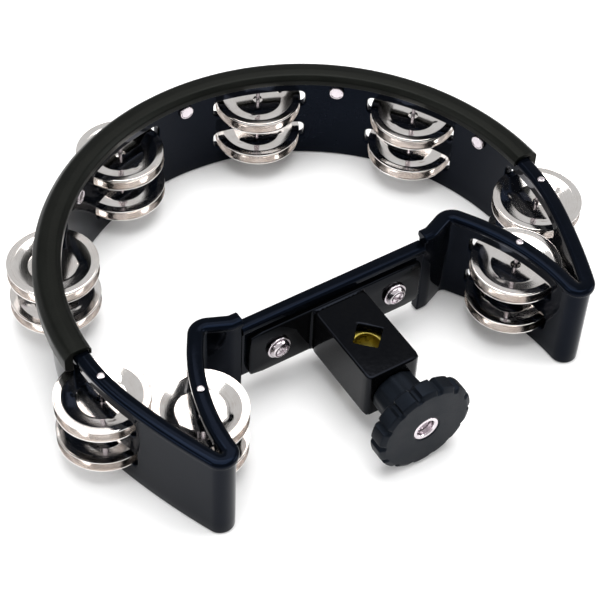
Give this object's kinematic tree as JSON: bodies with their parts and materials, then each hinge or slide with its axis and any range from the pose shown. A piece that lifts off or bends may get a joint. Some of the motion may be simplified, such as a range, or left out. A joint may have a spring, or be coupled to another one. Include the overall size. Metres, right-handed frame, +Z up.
{
  "type": "drum-set tambourine",
  "caption": "Crescent drum-set tambourine: gloss black frame with paired jingles in slots, a rubber grip and a knob clamp on a square bracket for a stand rod.",
  "frame": {"origin": "centre of the bounding box's underside, on the plane that the frame's lower edge rests on", "axes": "+Z up through the frame, +X to the right along the bar, -Y towards the clamp knob"},
  "size_m": [0.2872, 0.2366, 0.056],
  "materials": {
    "gloss_black_plastic": "gloss moulded",
    "black_rubber": "matt",
    "nickel_plated_steel": "polished",
    "bright_nickel": "plated",
    "gloss_black_paint": "gloss paint",
    "yellow_zinc": "passivated",
    "matte_black_plastic": "matt moulded"
  },
  "bodies": {
    "frame": {"frame": "gloss_black_plastic", "grip": "black_rubber", "grip_rivet_1": "bright_nickel", "grip_rivet_2": "bright_nickel", "grip_rivet_3": "bright_nickel", "grip_rivet_4": "bright_nickel", "grip_rivet_5": "bright_nickel", "jingle_pin_1": "bright_nickel", "jingle_pin_2": "bright_nickel", "jingle_pin_3": "bright_nickel", "jingle_pin_4": "bright_nickel", "jingle_pin_5": "bright_nickel", "jingle_pin_6": "bright_nickel", "jingle_pin_7": "bright_nickel", "jingle_pin_8": "bright_nickel", "bracket": "gloss_black_paint", "bracket_screw_left": "bright_nickel", "bracket_screw_right": "bright_nickel", "bracket_washer_left": "bright_nickel", "bracket_washer_right": "bright_nickel", "bracket_nut_left": "bright_nickel", "bracket_nut_right": "bright_nickel"},
    "clamp": {"clamp_eye": "yellow_zinc", "clamp_stud": "bright_nickel"},
    "knob": {"knob": "matte_black_plastic", "knob_insert": "bright_nickel"},
    "jingle_1_low_under": {"jingle_1_low_under": "nickel_plated_steel"},
    "jingle_1_low_over": {"jingle_1_low_over": "nickel_plated_steel"},
    "jingle_1_high_under": {"jingle_1_high_under": "nickel_plated_steel"},
    "jingle_1_high_over": {"jingle_1_high_over": "nickel_plated_steel"},
    "jingle_2_low_under": {"jingle_2_low_under": "nickel_plated_steel"},
    "jingle_2_low_over": {"jingle_2_low_over": "nickel_plated_steel"},
    "jingle_2_high_under": {"jingle_2_high_under": "nickel_plated_steel"},
    "jingle_2_high_over": {"jingle_2_high_over": "nickel_plated_steel"},
    "jingle_3_low_under": {"jingle_3_low_under": "nickel_plated_steel"},
    "jingle_3_low_over": {"jingle_3_low_over": "nickel_plated_steel"},
    "jingle_3_high_under": {"jingle_3_high_under": "nickel_plated_steel"},
    "jingle_3_high_over": {"jingle_3_high_over": "nickel_plated_steel"},
    "jingle_4_low_under": {"jingle_4_low_under": "nickel_plated_steel"},
    "jingle_4_low_over": {"jingle_4_low_over": "nickel_plated_steel"},
    "jingle_4_high_under": {"jingle_4_high_under": "nickel_plated_steel"},
    "jingle_4_high_over": {"jingle_4_high_over": "nickel_plated_steel"},
    "jingle_5_low_under": {"jingle_5_low_under": "nickel_plated_steel"},
    "jingle_5_low_over": {"jingle_5_low_over": "nickel_plated_steel"},
    "jingle_5_high_under": {"jingle_5_high_under": "nickel_plated_steel"},
    "jingle_5_high_over": {"jingle_5_high_over": "nickel_plated_steel"},
    "jingle_6_low_under": {"jingle_6_low_under": "nickel_plated_steel"},
    "jingle_6_low_over": {"jingle_6_low_over": "nickel_plated_steel"},
    "jingle_6_high_under": {"jingle_6_high_under": "nickel_plated_steel"},
    "jingle_6_high_over": {"jingle_6_high_over": "nickel_plated_steel"},
    "jingle_7_low_under": {"jingle_7_low_under": "nickel_plated_steel"},
    "jingle_7_low_over": {"jingle_7_low_over": "nickel_plated_steel"},
    "jingle_7_high_under": {"jingle_7_high_under": "nickel_plated_steel"},
    "jingle_7_high_over": {"jingle_7_high_over": "nickel_plated_steel"},
    "jingle_8_low_under": {"jingle_8_low_under": "nickel_plated_steel"},
    "jingle_8_low_over": {"jingle_8_low_over": "nickel_plated_steel"},
    "jingle_8_high_under": {"jingle_8_high_under": "nickel_plated_steel"},
    "jingle_8_high_over": {"jingle_8_high_over": "nickel_plated_steel"}
  },
  "joints": [
    {"name": "knob_turn", "type": "hinge", "parent": "frame", "child": "knob", "pos_m": [0, -0.10879, 0.0252], "axis": [0, -1, 0], "range_deg": [-720, 1080]},
    {"name": "clamp_draw", "type": "slide", "parent": "frame", "child": "clamp", "axis": [0, -1, 0], "range_m": [-0.00251, 0.00376]},
    {"name": "rattle_1_low_under", "type": "slide", "parent": "frame", "child": "jingle_1_low_under", "axis": [0, 0, 1], "range_m": [0, 0.0014]},
    {"name": "rattle_1_low_over", "type": "slide", "parent": "jingle_1_low_under", "child": "jingle_1_low_over", "axis": [0, 0, 1], "range_m": [0, 0.0014]},
    {"name": "rattle_1_high_under", "type": "slide", "parent": "frame", "child": "jingle_1_high_under", "axis": [0, 0, 1], "range_m": [0, 0.0014]},
    {"name": "rattle_1_high_over", "type": "slide", "parent": "jingle_1_high_under", "child": "jingle_1_high_over", "axis": [0, 0, 1], "range_m": [0, 0.0014]},
    {"name": "rattle_2_low_under", "type": "slide", "parent": "frame", "child": "jingle_2_low_under", "axis": [0, 0, 1], "range_m": [0, 0.0014]},
    {"name": "rattle_2_low_over", "type": "slide", "parent": "jingle_2_low_under", "child": "jingle_2_low_over", "axis": [0, 0, 1], "range_m": [0, 0.0014]},
    {"name": "rattle_2_high_under", "type": "slide", "parent": "frame", "child": "jingle_2_high_under", "axis": [0, 0, 1], "range_m": [0, 0.0014]},
    {"name": "rattle_2_high_over", "type": "slide", "parent": "jingle_2_high_under", "child": "jingle_2_high_over", "axis": [0, 0, 1], "range_m": [0, 0.0014]},
    {"name": "rattle_3_low_under", "type": "slide", "parent": "frame", "child": "jingle_3_low_under", "axis": [0, 0, 1], "range_m": [0, 0.0014]},
    {"name": "rattle_3_low_over", "type": "slide", "parent": "jingle_3_low_under", "child": "jingle_3_low_over", "axis": [0, 0, 1], "range_m": [0, 0.0014]},
    {"name": "rattle_3_high_under", "type": "slide", "parent": "frame", "child": "jingle_3_high_under", "axis": [0, 0, 1], "range_m": [0, 0.0014]},
    {"name": "rattle_3_high_over", "type": "slide", "parent": "jingle_3_high_under", "child": "jingle_3_high_over", "axis": [0, 0, 1], "range_m": [0, 0.0014]},
    {"name": "rattle_4_low_under", "type": "slide", "parent": "frame", "child": "jingle_4_low_under", "axis": [0, 0, 1], "range_m": [0, 0.0014]},
    {"name": "rattle_4_low_over", "type": "slide", "parent": "jingle_4_low_under", "child": "jingle_4_low_over", "axis": [0, 0, 1], "range_m": [0, 0.0014]},
    {"name": "rattle_4_high_under", "type": "slide", "parent": "frame", "child": "jingle_4_high_under", "axis": [0, 0, 1], "range_m": [0, 0.0014]},
    {"name": "rattle_4_high_over", "type": "slide", "parent": "jingle_4_high_under", "child": "jingle_4_high_over", "axis": [0, 0, 1], "range_m": [0, 0.0014]},
    {"name": "rattle_5_low_under", "type": "slide", "parent": "frame", "child": "jingle_5_low_under", "axis": [0, 0, 1], "range_m": [0, 0.0014]},
    {"name": "rattle_5_low_over", "type": "slide", "parent": "jingle_5_low_under", "child": "jingle_5_low_over", "axis": [0, 0, 1], "range_m": [0, 0.0014]},
    {"name": "rattle_5_high_under", "type": "slide", "parent": "frame", "child": "jingle_5_high_under", "axis": [0, 0, 1], "range_m": [0, 0.0014]},
    {"name": "rattle_5_high_over", "type": "slide", "parent": "jingle_5_high_under", "child": "jingle_5_high_over", "axis": [0, 0, 1], "range_m": [0, 0.0014]},
    {"name": "rattle_6_low_under", "type": "slide", "parent": "frame", "child": "jingle_6_low_under", "axis": [0, 0, 1], "range_m": [0, 0.0014]},
    {"name": "rattle_6_low_over", "type": "slide", "parent": "jingle_6_low_under", "child": "jingle_6_low_over", "axis": [0, 0, 1], "range_m": [0, 0.0014]},
    {"name": "rattle_6_high_under", "type": "slide", "parent": "frame", "child": "jingle_6_high_under", "axis": [0, 0, 1], "range_m": [0, 0.0014]},
    {"name": "rattle_6_high_over", "type": "slide", "parent": "jingle_6_high_under", "child": "jingle_6_high_over", "axis": [0, 0, 1], "range_m": [0, 0.0014]},
    {"name": "rattle_7_low_under", "type": "slide", "parent": "frame", "child": "jingle_7_low_under", "axis": [0, 0, 1], "range_m": [0, 0.0014]},
    {"name": "rattle_7_low_over", "type": "slide", "parent": "jingle_7_low_under", "child": "jingle_7_low_over", "axis": [0, 0, 1], "range_m": [0, 0.0014]},
    {"name": "rattle_7_high_under", "type": "slide", "parent": "frame", "child": "jingle_7_high_under", "axis": [0, 0, 1], "range_m": [0, 0.0014]},
    {"name": "rattle_7_high_over", "type": "slide", "parent": "jingle_7_high_under", "child": "jingle_7_high_over", "axis": [0, 0, 1], "range_m": [0, 0.0014]},
    {"name": "rattle_8_low_under", "type": "slide", "parent": "frame", "child": "jingle_8_low_under", "axis": [0, 0, 1], "range_m": [0, 0.0014]},
    {"name": "rattle_8_low_over", "type": "slide", "parent": "jingle_8_low_under", "child": "jingle_8_low_over", "axis": [0, 0, 1], "range_m": [0, 0.0014]},
    {"name": "rattle_8_high_under", "type": "slide", "parent": "frame", "child": "jingle_8_high_under", "axis": [0, 0, 1], "range_m": [0, 0.0014]},
    {"name": "rattle_8_high_over", "type": "slide", "parent": "jingle_8_high_under", "child": "jingle_8_high_over", "axis": [0, 0, 1], "range_m": [0, 0.0014]}
  ],
  "couplings": [
    {"joint": "clamp_draw", "follows": "knob_turn", "m_per_rad": 0.00019894}
  ]
}
